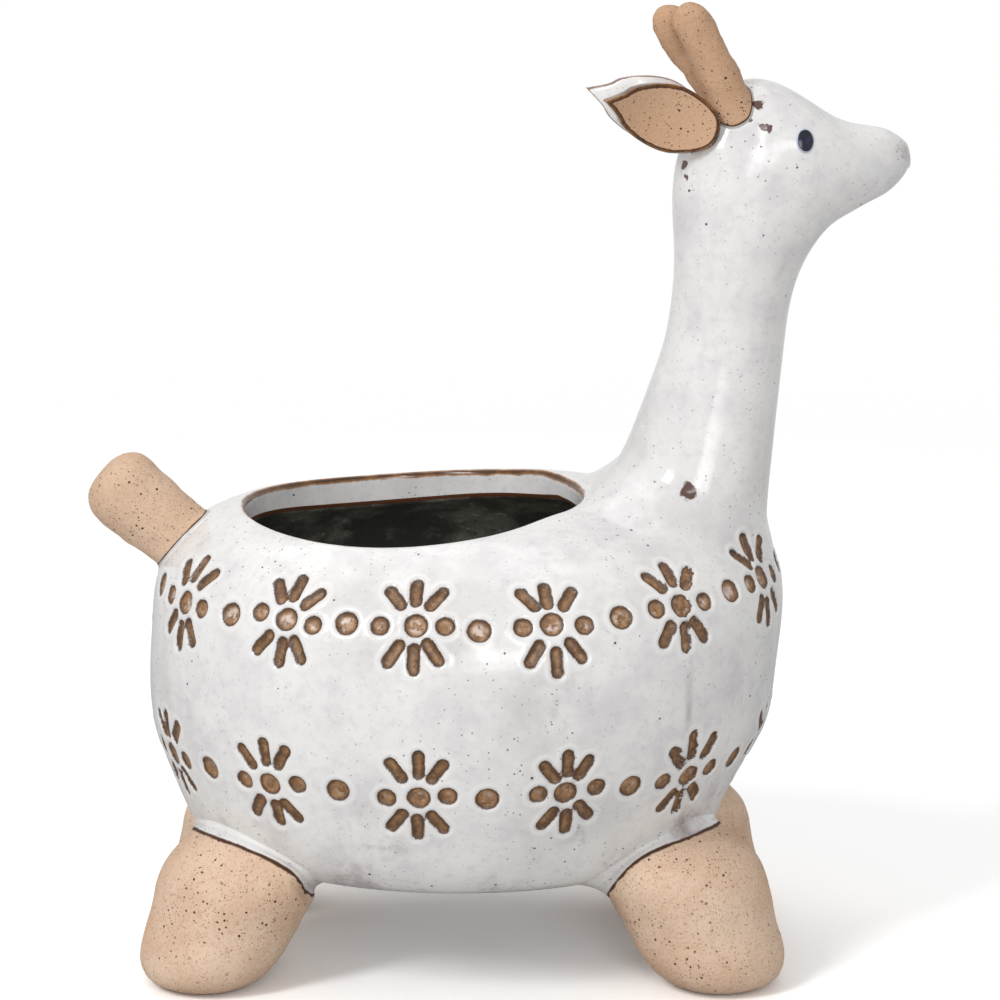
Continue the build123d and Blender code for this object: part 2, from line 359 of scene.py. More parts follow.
def glazeShader(look, edge=None):
    mottle = look.cloud(80, 7, 0.66)
    fine = look.cloud(430, 5, 0.65)
    veil = look.cloud(22, 4, 0.6)
    colour = (mottle.step(0.40, 0.72) * 0.55).blend(glazeLook["white"], glazeLook["lilac"])
    colour = (veil.step(0.46, 0.74) * 0.42).blend(colour, glazeLook["warmGrey"])
    colour = (fine.step(0.48, 0.76) * 0.45).blend(colour, glazeLook["lilac"])

    # Grey-purple blotches, denser towards the bottom of the pot and round the listed spots
    soot = look.strongest(look.mark("soot"), greyBlotchPlaces)
    smudge = look.cloud(75, 7, 0.72).step(0.49, 0.70) * soot
    colour = (smudge * 0.8).blend(colour, glazeLook["smudge"])

    crowd = look.strongest(look.cloud(26, 2).step(0.46, 0.62), speckCrowds)
    dust = look.grit(820, 0.28, 0.24) * (0.3 + 0.7 * crowd)
    specks = look.grit(700, 0.50, 0.19) * (0.3 + 0.7 * crowd)
    pin = look.grit(190, 0.80, 0.075)
    colour = (dust * 0.6).blend(colour, glazeLook["iron"])
    colour = (specks * 0.85).blend(colour, glazeLook["speck"])
    colour = (pin * 0.95).blend(colour, glazeLook["speck"])

    # Faint mould seam down the near side
    where = look.node("ShaderNodeSeparateXYZ", {}, {0: look.place})
    height = where.other("Z")
    nearSide = where.other("Y").step(*seamLine["nearSide"])
    low, high, fade = seamLine["low"], seamLine["high"], seamLine["fade"]
    stray = (look.cloud(40, 3) - 0.5) * seamLine["stray"]
    seam = (where + stray).band(seamLine["x"], seamLine["half"]) * nearSide
    seam = seam * height.step(high, high - fade) * height.step(low, low + fade)
    seam = seam * look.cloud(90, 4).step(0.36, 0.60)
    colour = (seam * 0.38).blend(colour, glazeLook["seam"])
    smear = where.band(seamLine["x"], seamLine["smear"]) * nearSide

    # Stamped marks: the mark holds 10 less the distance from the stamp's edge, in millimetres
    ragged = look.cloud(520, 4, 0.65) - 0.5
    away = 10 - look.mark("stamp") + ragged * (0.7 + 1.6 * smear)
    inside = away.step(0.05, -0.20)
    outline = away.band(-0.2, 0.55)
    patch = look.cloud(480, 5, 0.7)
    floor = (patch.step(0.40, 0.62) * 0.85).blend(glazeLook["stampFloor"], glazeLook["stampDeep"])
    # Pale glaze pooled in the stamps' hollows, partly a painted highlight: it is made stronger on the upper
    # band, where the light from above falls
    poolAndSheen = away.step(-0.5, -1.3) * look.cloud(420, 5, 0.65).step(0.46, 0.60)
    poolAndSheen = poolAndSheen * (0.4 + 0.6 * look.mark("upper"))
    floor = (poolAndSheen * 0.85).blend(floor, glazeLook["stampPoolAndSheen"])
    floor = (outline * 0.85).blend(floor, glazeLook["stampEdge"])
    floor = (look.grit(900, 0.35, 0.25) * 0.8).blend(floor, glazeLook["speck"])
    colour = (away.band(0.9, 1.0) * 0.75).blend(colour, glazeLook["white"])
    colour = inside.blend(colour, floor)

    # Iron spots that broke through the glaze
    iron = look.strongest(None, ironSpots, look.strayed(0.0050, 420))
    colour = (iron.step(0.56, 0.84) * 0.95).blend(colour, glazeLook["ironSpot"])

    # Lip and rims, where the glaze runs thin over the iron-rich clay
    thin = look.mark("thin")
    thin = thin + (look.cloud(230, 5, 0.65) - 0.5) * 0.9 * thin.step(0.0, 0.3)
    colour = thin.step(0.35, 0.75).blend(colour, glazeLook["amber"])
    colour = thin.step(0.75, 1.05).blend(colour, glazeLook["stampEdge"])

    rough = 0.09 + 0.10 * fine + 0.08 * inside + 0.3 * pin
    skin = look.cloud(110, 2, 0.5) + 0.30 * look.cloud(480, 2, 0.5)
    dents = pin + 0.6 * specks
    normal = look.bump(skin, 0.0003, 0.32)
    normal = look.bump(1 - dents, 0.0004, 0.6, normal)
    normal = look.bump(1 - inside * (0.6 + 0.7 * patch), 0.0006, 0.7, normal)
    normal = look.bump(seam, 0.0004, 0.5, normal)
    if edge is not None:
        normal = look.bump(edge.step(0.46, 0.80), 0.0010, 0.7, normal)
    sockets = {"Base Color": colour, "Roughness": rough, "Normal": normal, "IOR": 1.5}
    return look.node("ShaderNodeBsdfPrincipled", {}, sockets)


clayLook = {
    "light": rgb(238, 210, 184),
    "warm": rgb(226, 192, 164),
    "shade": rgb(200, 160, 128),
    "toast": rgb(196, 152, 116),
    "grain": rgb(170, 116, 84),
    "speck": rgb(92, 60, 42),
    "pore": rgb(50, 36, 30),
    "line": rgb(80, 50, 30),
}


def clayShader(look):
    broad = look.cloud(60, 5, 0.6)
    grain = look.cloud(1300, 4, 0.7)
    sand = look.cloud(3200, 2, 0.6)
    colour = broad.step(0.35, 0.65).blend(clayLook["light"], clayLook["warm"])
    colour = (look.mark("toast") * 0.8).blend(colour, clayLook["toast"])
    colour = (grain.step(0.48, 0.70) * 0.6).blend(colour, clayLook["shade"])
    colour = (sand.step(0.52, 0.72) * 0.35).blend(colour, clayLook["light"])
    crowd = look.cloud(70, 3).step(0.40, 0.60)
    red = look.grit(2100, 0.60, 0.30)
    specks = look.grit(1400, 0.70, 0.26) * (0.35 + 0.65 * crowd)
    pores = look.grit(640, 0.80, 0.22) * (0.3 + 0.7 * crowd)
    colour = (red * 0.6).blend(colour, clayLook["grain"])
    colour = (specks * 0.85).blend(colour, clayLook["speck"])
    colour = (pores * 0.95).blend(colour, clayLook["pore"])
    line = look.mark("line") + (look.cloud(260, 4, 0.65) - 0.5) * 0.5
    colour = line.step(0.55, 0.85).blend(colour, clayLook["line"])
    normal = look.bump(grain + 0.5 * sand, 0.0004, 0.5)
    normal = look.bump(1 - specks - pores, 0.0006, 0.8, normal)
    rough = 0.80 + 0.15 * grain
    sockets = {"Base Color": colour, "Roughness": rough, "Normal": normal, "IOR": 1.45}
    return look.node("ShaderNodeBsdfPrincipled", {}, sockets)


def makeGlaze():
    look = Finish("whiteGlaze")
    return look.finish(glazeShader(look))


def makeClay():  # bare clay that goes under the glaze where the mark "glazed" says so
    look = Finish("bareClay")
    edge = look.mark("glazed") + (look.cloud(160, 3, 0.6) - 0.5) * 0.12
    sockets = {0: edge.step(0.47, 0.53), 1: clayShader(look), 2: glazeShader(look, edge)}
    return look.finish(look.node("ShaderNodeMixShader", {}, sockets))


# Inner wall: its dark grey, olive and ash mottle is painted shade, standing in for the shadow in the cavity
# under the shoulder; the brown line at the collar's foot is the glaze's own edge.
linerLook = {
    "dark": rgb(76, 76, 72),
    "olive": rgb(150, 150, 138),
    "ash": rgb(228, 226, 224),
    "line": rgb(92, 54, 30),
}


def makeLiner():
    look = Finish("darkInnerGlaze")
    mottle = look.cloud(70, 5, 0.65)
    colour = mottle.step(0.42, 0.66).blend(linerLook["dark"], linerLook["olive"])
    fleck = look.cloud(420, 4, 0.7).step(0.56, 0.72) * mottle.step(0.40, 0.58)
    colour = (fleck * 0.7).blend(colour, linerLook["ash"])
    colour = (look.grit(420, 0.2, 0.25) * 0.7).blend(colour, linerLook["dark"])
    colour = look.mark("line").step(0.4, 0.8).blend(colour, linerLook["line"])
    normal = look.bump(look.cloud(300, 3, 0.6), 0.0005, 0.5)
    sockets = {"Base Color": colour, "Roughness": 0.25 + 0.3 * mottle, "Normal": normal, "IOR": 1.5}
    return look.finish(look.node("ShaderNodeBsdfPrincipled", {}, sockets))


eyeLook = {"navy": rgb(10, 9, 30), "blue": rgb(28, 34, 82), "ring": rgb(196, 206, 220)}


def makeEye():
    look = Finish("eyeGlaze")
    out = look.mark("across") + (look.cloud(900, 3, 0.6) - 0.5) * 0.10
    colour = look.cloud(700, 3, 0.6).step(0.45, 0.70).blend(eyeLook["navy"], eyeLook["blue"])
    colour = out.step(0.92, 1.02).blend(colour, eyeLook["ring"])
    sockets = {"Base Color": colour, "Roughness": 0.06 + 0.10 * out, "IOR": 1.5}
    return look.finish(look.node("ShaderNodeBsdfPrincipled", {}, sockets))


rubberLook = {"grey": rgb(58, 57, 56), "bloom": rgb(92, 90, 88)}


def makeRubber():
    look = Finish("stopperRubber")
    bloom = look.cloud(90, 4, 0.6)
    colour = (bloom.step(0.5, 0.8) * 0.6).blend(rubberLook["grey"], rubberLook["bloom"])
    normal = look.bump(look.cloud(1500, 3, 0.6), 0.0002, 0.5)
    sockets = {"Base Color": colour, "Roughness": 0.55 + 0.25 * bloom, "Normal": normal}
    return look.finish(look.node("ShaderNodeBsdfPrincipled", {}, sockets))


whiteGlaze = makeGlaze()
bareClay = makeClay()
innerWallShade = makeLiner()
eyeGlaze = makeEye()
stopperRubber = makeRubber()
print("finishes made")


# Pot wall and liner, sampled from the bowl on rays from its middle

potTree = searchTree("pot_bowl")
potLow, potHigh = boxOf("pot_bowl")
plugLow, plugHigh = boxOf("drain_plug")
potAxis = (potLow.x + potHigh.x) / 2

pot = {
    "columns": 648,
    "linerColumns": 216,
    "middleHeight": 65.0,
    "rayStart": 300.0,
    "turns": 240,
    "tilts": 190,
    "steepest": math.radians(87),
    "waves": 26,
    "lipProbe": 102.5,
    "outerSlack": 0.15,
    "innerSlack": 0.25,
    "topTilt": 0.3,
    "baseTilt": -0.9,
    "strayHit": 0.6,
    "lipRound": 2.1,
    "collarDepth": 6.0,
    "edgeRound": 1.2,
    "rows": {"base": 18, "lowerBand": 47, "waist": 9, "upperBand": 46, "shoulder": 15},
    "bandReach": 13.4,
}
# Rings of stamped flowers: height where x is 0, climb towards the front, count and first place
bands = {
    "Lower": {"height": 52.1, "climb": 0.0, "flowers": 12, "start": 0.66},
    "Upper": {"height": 90.2, "climb": 0.022, "flowers": 13, "start": 0.39},
}


def roundOpening(height, x):  # middle and radius of a round upright opening
    start = Vector((x, 0, height))
    rear, front = [potTree.ray_cast(start, Vector((way, 0, 0)))[0].x for way in (-1, 1)]
    return (rear + front) / 2, (front - rear) / 2


mouthX, mouthRadius = roundOpening(pot["lipProbe"], potAxis)
drainX, drainRadius = roundOpening((plugLow.z + potLow.z) / 2 + 3, (plugLow.x + plugHigh.x) / 2)


def sampleShell(fromOutside):
    centre = Vector((potAxis, 0, pot["middleHeight"]))
    turns = np.arange(pot["turns"]) * 2 * math.pi / pot["turns"]
    tilts = np.linspace(-pot["steepest"], pot["steepest"], pot["tilts"])
    reach = np.full((len(tilts), len(turns)), np.nan)
    for i, tilt in enumerate(tilts):
        for j, turn in enumerate(turns):
            level = math.cos(tilt)
            ray = Vector((level * math.cos(turn), level * math.sin(turn), math.sin(tilt)))
            if fromOutside:
                hit = potTree.ray_cast(centre + ray * pot["rayStart"], -ray)[0]
            else:
                hit = potTree.ray_cast(centre, ray)[0]
            if hit is not None:
                reach[i, j] = (hit - centre).length
    return turns, tilts, reach


def potProfile(fromOutside, columns):  # distance from the axis and height, on rows from base to mouth
    turns, tilts, reach = sampleShell(fromOutside)
    out = reach * np.cos(tilts)[:, None]
    x = potAxis + out * np.cos(turns)
    y = out * np.sin(turns)
    z = pot["middleHeight"] + reach * np.sin(tilts)[:, None]
    openEdge = mouthRadius + pot["outerSlack" if fromOutside else "innerSlack"]
    top = (tilts[:, None] > pot["topTilt"]) & (np.hypot(x - mouthX, y) < openEdge)
    floor = np.nanmin(np.where(np.hypot(x - drainX, y) > drainRadius + 2, z, np.nan))
    base = (tilts[:, None] < pot["baseTilt"]) & (np.hypot(x - drainX, y) < drainRadius + 1)
    reach[top] = np.nan
    plane = (floor - pot["middleHeight"]) / np.sin(tilts)
    rows = np.arange(len(tilts))
    for j in range(len(turns)):
        line = reach[:, j]
        line[base[:, j]] = plane[base[:, j]]
        low = np.isnan(line) & (tilts < pot["baseTilt"])
        line[low] = plane[low]
        last = rows[~np.isnan(line)].max()
        slope = (line[last] - line[last - 5]) / 5
        line[last + 1:] = line[last] + slope * (rows[last + 1:] - last)
    stack = np.stack([np.roll(reach, shift, axis=1) for shift in range(-5, 6)])
    middle = np.median(stack, axis=0)
    reach = np.where(abs(reach - middle) > pot["strayHit"], middle, reach)
    reach = softenRows(softenRound(reach, pot["waves"], columns), 2.2)
    reach = refineRows(reach, 5)
    tilts = np.linspace(tilts[0], tilts[-1], len(reach))
    return reach * np.cos(tilts)[:, None], pot["middleHeight"] + reach * np.sin(tilts)[:, None]


def openingReach(columns, x, radius):  # distance from the pot's axis to a round opening's edge
    turn = np.arange(columns) * 2 * math.pi / columns
    offset = x - potAxis
    along = offset * np.cos(turn)
    return along + np.sqrt(radius**2 - (offset * np.sin(turn)) ** 2)


def crossing(reach, height, edge):  # profile length at which the rising dome comes in to an opening's edge
    widest = int(np.argmax(reach))
    length = lengthAlong(reach, height)
    return length, widest, np.interp(edge, reach[widest:][::-1], length[widest:][::-1])


def onAxisRing(reach, height, columns):  # points from distances and heights of a grid
    turn = np.arange(columns) * 2 * math.pi / columns
    return np.stack([potAxis + reach * np.cos(turn), reach * np.sin(turn), height], axis=-1)


outerReach, outerHeight = potProfile(True, pot["columns"])
innerReach, innerHeight = potProfile(False, pot["columns"])
lipReach = openingReach(pot["columns"], mouthX, mouthRadius)
drainReach = openingReach(pot["columns"], drainX, drainRadius)
print("bowl sampled: mouth", round(mouthX, 2), round(mouthRadius, 2), "drain", round(drainX, 2))


def potWallRows():
    reachRows, heightRows, upperRows, thinRows, greyBlotchRows = [], [], [], [], []
    ceiling = []
    for j in range(pot["columns"]):
        reach, height = outerReach[:, j], outerHeight[:, j]
        length, widest, atLip = crossing(reach, height, lipReach[j])
        turn = 2 * math.pi * j / pot["columns"]
        ahead = potAxis + reach[widest] * math.cos(turn)
        low, up = [band["height"] + band["climb"] * ahead for band in bands.values()]
        summit = int(np.argmax(height))

        def atHeight(level):
            return np.interp(level, height[:summit], length[:summit])

        half = pot["bandReach"]
        up = atHeight(up)
        start = np.interp(drainReach[j], reach[:widest], length[:widest])
        stops = [start, atHeight(low - half), atHeight(low + half), up - half, up + half]
        stops.append(atLip - pot["lipRound"])
        places = []
        for (first, last), count in zip(zip(stops, stops[1:]), pot["rows"].values()):
            places.append(np.linspace(first, last, count, endpoint=False))
        places = np.concatenate(places + [[stops[-1]]])
        lipHeight = np.interp(atLip, length, height)
        wall = np.stack([np.interp(places, length, reach), np.interp(places, length, height)], axis=1)
        corner = np.array([lipReach[j], lipHeight])
        down = corner - [0, pot["lipRound"]]
        lip = bend3(wall[-1], corner, down, 11)[1:]
        inLength, _, inLip = crossing(innerReach[:, j], innerHeight[:, j], lipReach[j])
        under = np.interp(inLip, inLength, innerHeight[:, j])
        under = min(under, lipHeight - pot["collarDepth"])
        collarEnd = np.array([lipReach[j], under + pot["edgeRound"]])
        collar = np.linspace(down, collarEnd, 6)[1:]
        profile = np.concatenate([wall, lip, collar])
        ceiling.append(under)
        reachRows.append(profile[:, 0])
        heightRows.append(profile[:, 1])
        upperRows.append(profile[:, 1] > sum(band["height"] for band in bands.values()) / 2)
        crest = len(wall) + 4
        past = lengthAlong(*profile.T)
        past -= past[crest]
        thinRows.append(np.clip(1 - abs(past - 0.35) / 1.6, 0, 1) * 1.15)
        # the grey blotches grow towards the bottom of the pot
        greyBlotchRows.append(np.clip((45 - profile[:, 1]) / 25, 0, 1))
    grids = [np.array(rows).T for rows in (reachRows, heightRows, upperRows, thinRows, greyBlotchRows)]
    return grids, np.array(ceiling)


(wallReach, wallHeight, upperMark, thinMark, greyBlotchMark), ceilingHeight = potWallRows()
wallGrid = onAxisRing(wallReach, wallHeight, pot["columns"])
potWall = gridPiece("potWall", wallGrid, upper=upperMark, thin=thinMark, soot=greyBlotchMark)
print("pot wall:", wallGrid.shape)


# Stamped flower bands, pressed into the wall along two rings

stamps = {
    "Petal width": 3.05 * mm,
    "Petal start": 5.45 * mm,
    "Petal end": 9.5 * mm,
    "Centre dot": 5.5 * mm,
    "Side dot": 4.5 * mm,
    "Side place": 6.7 * mm,
    "Depth": 0.9 * mm,
    "Unevenness": 1.0,
    "Seed": 7,
}
for ring, band in bands.items():
    stamps[ring + " height"] = band["height"] * mm
    stamps[ring + " climb"] = band["climb"]
    stamps[ring + " flowers"] = band["flowers"]
    stamps[ring + " start"] = band["start"]
petalAngles = [0, 36, -36, 180, 144, -144]
# How far the hand slips: share of a step along the ring, lengths, turn and growth
slip = {"along": 0.035, "height": 0.6 * mm, "nudge": 0.5 * mm, "twist": 0.10, "grow": (0.94, 1.05)}


def makeStampTree():
    tree = bpy.data.node_groups.new("stampFlowers", "GeometryNodeTree")
    kinds = {"Geometry": "Geometry"}
    for name, value in stamps.items():
        kinds[name] = "Int" if isinstance(value, int) else "Float"
    kinds.update({"Middle": "Vector", "Half length": "Float", "Half width": "Float"})
    kinds.update({"Skin": "Object", "Material": "Material"})
    for name, kind in kinds.items():
        tree.interface.new_socket(name, in_out="INPUT", socket_type="NodeSocket" + kind)
    tree.interface.new_socket("Geometry", in_out="OUTPUT", socket_type="NodeSocketGeometry")
    g = Wire(tree)
    wall = g.node("NodeGroupInput", out="Geometry")
    size = {name: wall.other(name) for name in stamps}
    middle = wall.other("Middle")
    skin = g.node("GeometryNodeObjectInfo", {"transform_space": "ORIGINAL"}, {
        0: wall.other("Skin"),
    }, out="Geometry")

    def vector(x=0.0, y=0.0, z=0.0):
        return g.node("ShaderNodeCombineXYZ", {}, {0: x, 1: y, 2: z})

    def plus(a, b):
        return g.node("ShaderNodeVectorMath", {"operation": "ADD"}, {0: a, 1: b})

    def scaled(a, factor):
        return g.node("ShaderNodeVectorMath", {"operation": "SCALE"}, {0: a, 3: factor})

    def chance(low, high, salt, index=None):  # random value for each point
        sockets = {2: low, 3: high, 8: size["Seed"] + salt}
        if index is not None:
            sockets[7] = index
        return g.node("FunctionNodeRandomValue", {"data_type": "FLOAT"}, sockets, out=1)

    index = g.node("GeometryNodeInputIndex")
    circle = g.node("GeometryNodeCurvePrimitiveCircle", {"mode": "RADIUS"}, {0: 256, 4: 1.0})
    oval = g.node("GeometryNodeTransform", {}, {
        "Geometry": circle,
        "Scale": vector(wall.other("Half length"), wall.other("Half width"), 1.0),
    })

    def bandPoints(ring, shift, salt):  # points of one ring on the wall
        count = size[ring + " flowers"]
        points = g.node("GeometryNodePoints", {}, {0: count})
        turn = index + size[ring + " start"] + shift
        turn = (turn + chance(-slip["along"], slip["along"], salt) * size["Unevenness"]) / count
        share = turn.maths("FRACT", turn)
        spot = g.node("GeometryNodeSampleCurve", {"mode": "FACTOR"}, {
            "Curves": oval, "Factor": share,
        }, out="Position")
        parts = g.node("ShaderNodeSeparateXYZ", {}, {0: plus(spot, middle)})
        height = size[ring + " height"] + parts * size[ring + " climb"]
        height = height + chance(-slip["height"], slip["height"], salt + 1) * size["Unevenness"]
        away = plus(scaled(spot, 2.0), middle)
        flat = g.node("ShaderNodeSeparateXYZ", {}, {0: away})
        source = vector(flat, flat.other(1), height)
        ray = g.node("GeometryNodeRaycast", {}, {
            "Target Geometry": skin,
            "Source Position": source,
            "Ray Direction": scaled(spot, -1.0),
            "Ray Length": 1.0,
        }, out="Hit Position")
        marked = g.node("GeometryNodeStoreNamedAttribute", {"data_type": "FLOAT_VECTOR"}, {
            "Geometry": points, "Name": "lie", "Value": ray.other("Hit Normal"),
        })
        return g.node("GeometryNodeSetPosition", {}, {"Geometry": marked, "Position": ray})

    def pressOn(points, stamp, salt):  # copies of a stamp on the points, laid down on the wall
        lie = g.node("GeometryNodeInputNamedAttribute", {"data_type": "FLOAT_VECTOR"}, {"Name": "lie"})
        facing = g.node("FunctionNodeAlignRotationToVector", {"axis": "Z"}, {"Vector": lie})
        upright = g.node("FunctionNodeAlignRotationToVector", {"axis": "Y", "pivot_axis": "Z"}, {
            "Rotation": facing, "Vector": (0, 0, 1),
        })
        twist = g.node("FunctionNodeAxisAngleToRotation", {}, {
            "Axis": (0, 0, 1), "Angle": chance(-slip["twist"], slip["twist"], salt) * size["Unevenness"],
        })
        turned = g.node("FunctionNodeRotateRotation", {"rotation_space": "LOCAL"}, {
            "Rotation": upright, "Rotate By": twist,
        })
        copies = g.node("GeometryNodeInstanceOnPoints", {}, {
            "Points": points,
            "Instance": stamp,
            "Rotation": turned,
            "Scale": vector(*[chance(*slip["grow"], salt + 1)] * 3),
        })
        made = g.node("GeometryNodeRealizeInstances", {}, {"Geometry": copies})
        island = g.node("GeometryNodeInputMeshIsland", out="Island Index")
        nudges = [chance(-slip["nudge"], slip["nudge"], salt + 2 + i, island) for i in range(3)]
        nudge = scaled(vector(*nudges), size["Unevenness"])
        loose = g.node("GeometryNodeSetPosition", {}, {"Geometry": made, "Offset": nudge})
        spot = g.node("GeometryNodeInputPosition")
        onSkin = g.node("GeometryNodeRaycast", {}, {
            "Target Geometry": skin,
            "Source Position": plus(spot, scaled(lie, 0.02)),
            "Ray Direction": scaled(lie, -1.0),
            "Ray Length": 0.05,
        }, out="Hit Position")
        return g.node("GeometryNodeSetPosition", {}, {"Geometry": loose, "Position": onSkin})

    def join(pieces):
        made = tree.nodes.new("GeometryNodeJoinGeometry")
        for piece in pieces:
            tree.links.new(piece.socket, made.inputs[0])
        return Wire(tree, made.outputs[0])

    def dot(place, width):  # one point that carries its radius
        point = g.node("GeometryNodeMeshLine", {}, {"Count": 1, "Start Location": place})
        return g.node("GeometryNodeStoreNamedAttribute", {"data_type": "FLOAT"}, {
            "Geometry": point, "Name": "girth", "Value": width * 0.5,
        })

    petals = []
    for angle in petalAngles:
        line = g.node("GeometryNodeMeshLine", {"mode": "END_POINTS"}, {
            "Count": 6,
            "Start Location": vector(0.0, size["Petal start"], 0.0),
            "Offset": vector(0.0, size["Petal end"], 0.0),
        })
        petals.append(g.node("GeometryNodeTransform", {}, {
            "Geometry": line, "Rotation": (0, 0, math.radians(angle)),
        }))
    dots = [dot((0, 0, 0), size["Centre dot"])]
    for side in (-1, 1):
        dots.append(dot(vector(size["Side place"] * side, 0.0, 0.0), size["Side dot"]))

    flower, centre, single = join(petals), join(dots), dot((0, 0, 0), size["Centre dot"])
    petalMarks, allDots = [], []
    for number, ring in enumerate(bands):
        salt = 100 * number
        flowers = bandPoints(ring, 0.0, salt + 10)
        petalMarks.append(pressOn(flowers, flower, salt + 20))
        allDots.append(pressOn(flowers, centre, salt + 20))
        allDots.append(pressOn(bandPoints(ring, 0.5, salt + 30), single, salt + 40))
    petalMarks, allDots = join(petalMarks), join(allDots)

    here = g.node("GeometryNodeInputPosition")
    petalAway = g.node("GeometryNodeProximity", {"target_element": "EDGES"}, {0: petalMarks}, out="Distance")
    dotAway = g.node("GeometryNodeProximity", {"target_element": "POINTS"}, {0: allDots}, out="Distance")
    closest = g.node("GeometryNodeSampleNearest", {}, {"Geometry": allDots, "Sample Position": here})
    girth = g.node("GeometryNodeInputNamedAttribute", {"data_type": "FLOAT"}, {"Name": "girth"})
    reach = g.node("GeometryNodeSampleIndex", {"data_type": "FLOAT"}, {
        "Geometry": allDots, "Value": girth, "Index": closest,
    })
    away = (petalAway - size["Petal width"] * 0.5).atMost(dotAway - reach) / mm
    press = away.step(0.30, -1.0)
    ridge = away.step(-0.1, 0.55) * away.step(1.7, 0.55)
    lift = (ridge * 0.16 - press) * size["Depth"]
    normal = g.node("GeometryNodeInputNormal")
    pressed = g.node("GeometryNodeSetPosition", {}, {"Geometry": wall, "Offset": scaled(normal, lift)})
    marked = g.node("GeometryNodeStoreNamedAttribute", {"data_type": "FLOAT"}, {
        "Geometry": pressed, "Name": "stamp", "Value": (10 - away).atLeast(0.0),
    })
    whole = g.node("GeometryNodeRealizeInstances", {}, {"Geometry": marked})
    coated = g.node("GeometryNodeSetMaterial", {}, {"Geometry": whole, "Material": wall.other("Material")})
    g.node("NodeGroupOutput", {}, {0: coated}, out=None)
    return tree


def bakeNodes(piece, tree, values):  # runs a node tree on a piece and keeps the plain mesh
    modifier = piece.modifiers.new(tree.name, "NODES")
    modifier.node_group = tree
    for item in tree.interface.items_tree:
        if item.in_out == "INPUT" and item.name in values:
            modifier[item.identifier] = values[item.name]
    keepShape(piece)


def makeLinerPiece():
    skip = pot["columns"] // pot["linerColumns"]
    profiles, lines = [], []
    for j in range(0, pot["columns"], skip):
        reach, height = innerReach[:, j], innerHeight[:, j]
        length, widest, atLip = crossing(reach, height, lipReach[j])
        corner = np.array([lipReach[j], ceilingHeight[j]])
        first = atLip - pot["edgeRound"]
        floorEdge = np.interp(drainReach[j], reach[:widest], length[:widest])
        places = np.linspace(first, floorEdge, 70)
        wall = np.stack([np.interp(places, length, reach), np.interp(places, length, height)], axis=1)
        wall[0, 1] = min(wall[0, 1], corner[1] + 0.2)
        turn = bend3(corner + [0, pot["edgeRound"]], corner, wall[0], 6)[:-1]
        hole = np.array([[drainReach[j], wall[-1, 1] - 0.6], [drainReach[j], potLow.z]])
        profile = np.concatenate([turn, wall, hole])
        past = lengthAlong(*profile.T)
        profiles.append(profile)
        lines.append(np.clip(1.1 - past / 2.2, 0, 1))
    profiles = np.array(profiles).transpose(1, 0, 2)
    grid = onAxisRing(profiles[..., 0], profiles[..., 1], pot["linerColumns"])
    return gridPiece("potLiner", grid, line=np.array(lines).T)


# The inner wall's finish is painted shade for the shadowed cavity.
finishPiece(makeLinerPiece(), innerWallShade, "glaze")


# Neck and head: rings between a nape line and a throat line, sampled from the frame

neckHead = {
    "columns": 360,
    "ringsPerLine": 9,
    "waves": 12,
    "turnAxis": 54.4,
    # nape x and z, throat x and z, turn in degrees
    "lines": [
        (21.6, 110.0, 62.2, 110.0, 0.0),
        (28.4, 116.0, 62.2, 116.0, 0.0),
        (35.3, 126.5, 63.3, 126.5, 0.0),
        (37.9, 140.0, 64.9, 140.0, 0.0),
        (39.5, 150.5, 66.2, 150.5, 0.0),
        (40.1, 163.3, 68.9, 159.7, 2.7),
        (39.6, 172.0, 70.8, 163.5, 5.0),
        (40.5, 182.0, 74.6, 168.0, 9.0),
        (44.4, 193.8, 78.2, 170.4, 9.0),
        (53.8, 201.4, 81.3, 172.0, 9.0),
        (64.4, 200.3, 84.3, 173.5, 9.0),
        (75.2, 194.0, 87.3, 175.1, 9.0),
        (84.4, 189.2, 90.2, 177.1, 9.0),
        (89.9, 187.5, 92.2, 179.2, 9.0),
        (92.5, 186.0, 93.3, 181.0, 9.0),
    ],
    "seamLine": 6,
    "tipBulge": 0.9,
    "muzzleRise": 1.9,
    "muzzle": (75.0, 88.0, 94.5),
}


def ringFrames():
    lines = refineRows(np.array(neckHead["lines"]), neckHead["ringsPerLine"])
    frames = []
    for napeX, napeZ, throatX, throatZ, turn in lines:
        spin = math.radians(turn)

        def place(x, z):
            out = x - neckHead["turnAxis"]
            return Vector((neckHead["turnAxis"] + out * math.cos(spin), out * math.sin(spin), z))

        nape, throat = place(napeX, napeZ), place(throatX, throatZ)
        across = throat - nape
        side = Vector((-math.sin(spin), math.cos(spin), 0))
        frames.append(((nape + throat) / 2, across.normalized(), side, across.length / 2))
    return frames


def sampleRing(tree, centre, across, side, far, columns):
    ring = []
    for ray in ringRays(across, side, columns):
        hit = tree.ray_cast(centre + ray * far, -ray)[0]
        ring.append(centre if hit is None else hit)
    return ring


neckTree = searchTree("neck", "head", "eye_left", "eye_right")
headTree = searchTree("head")


def neckAndHeadGrid():
    frames = ringFrames()
    rings, centres = [], []
    for centre, across, side, half in frames:
        ring = sampleRing(neckTree, centre, across, side, half * 1.25 + 5, neckHead["columns"])
        rings.append([tuple(point - centre) for point in ring])
        centres.append(tuple(centre))
    offsets = softenRound(np.array(rings), neckHead["waves"], neckHead["columns"])
    centres = np.array(centres)[:, None, :]
    grid = softenRows(centres + offsets, 1.6)
    start, full, tip = neckHead["muzzle"]
    along = np.clip((grid[..., 0] - start) / (full - start), 0, 1)
    fall = 1 - 0.6 * np.clip((grid[..., 0] - full) / (tip - full), 0, 1)
    above = np.clip(offsets[..., 2] / offsets[..., 2].max(axis=1, keepdims=True), 0, 1)
    grid[..., 2] += neckHead["muzzleRise"] * along**2 * (3 - 2 * along) * fall * above
    return grid, neckHead["seamLine"] * neckHead["ringsPerLine"]


neckGrid, seamRow = neckAndHeadGrid()


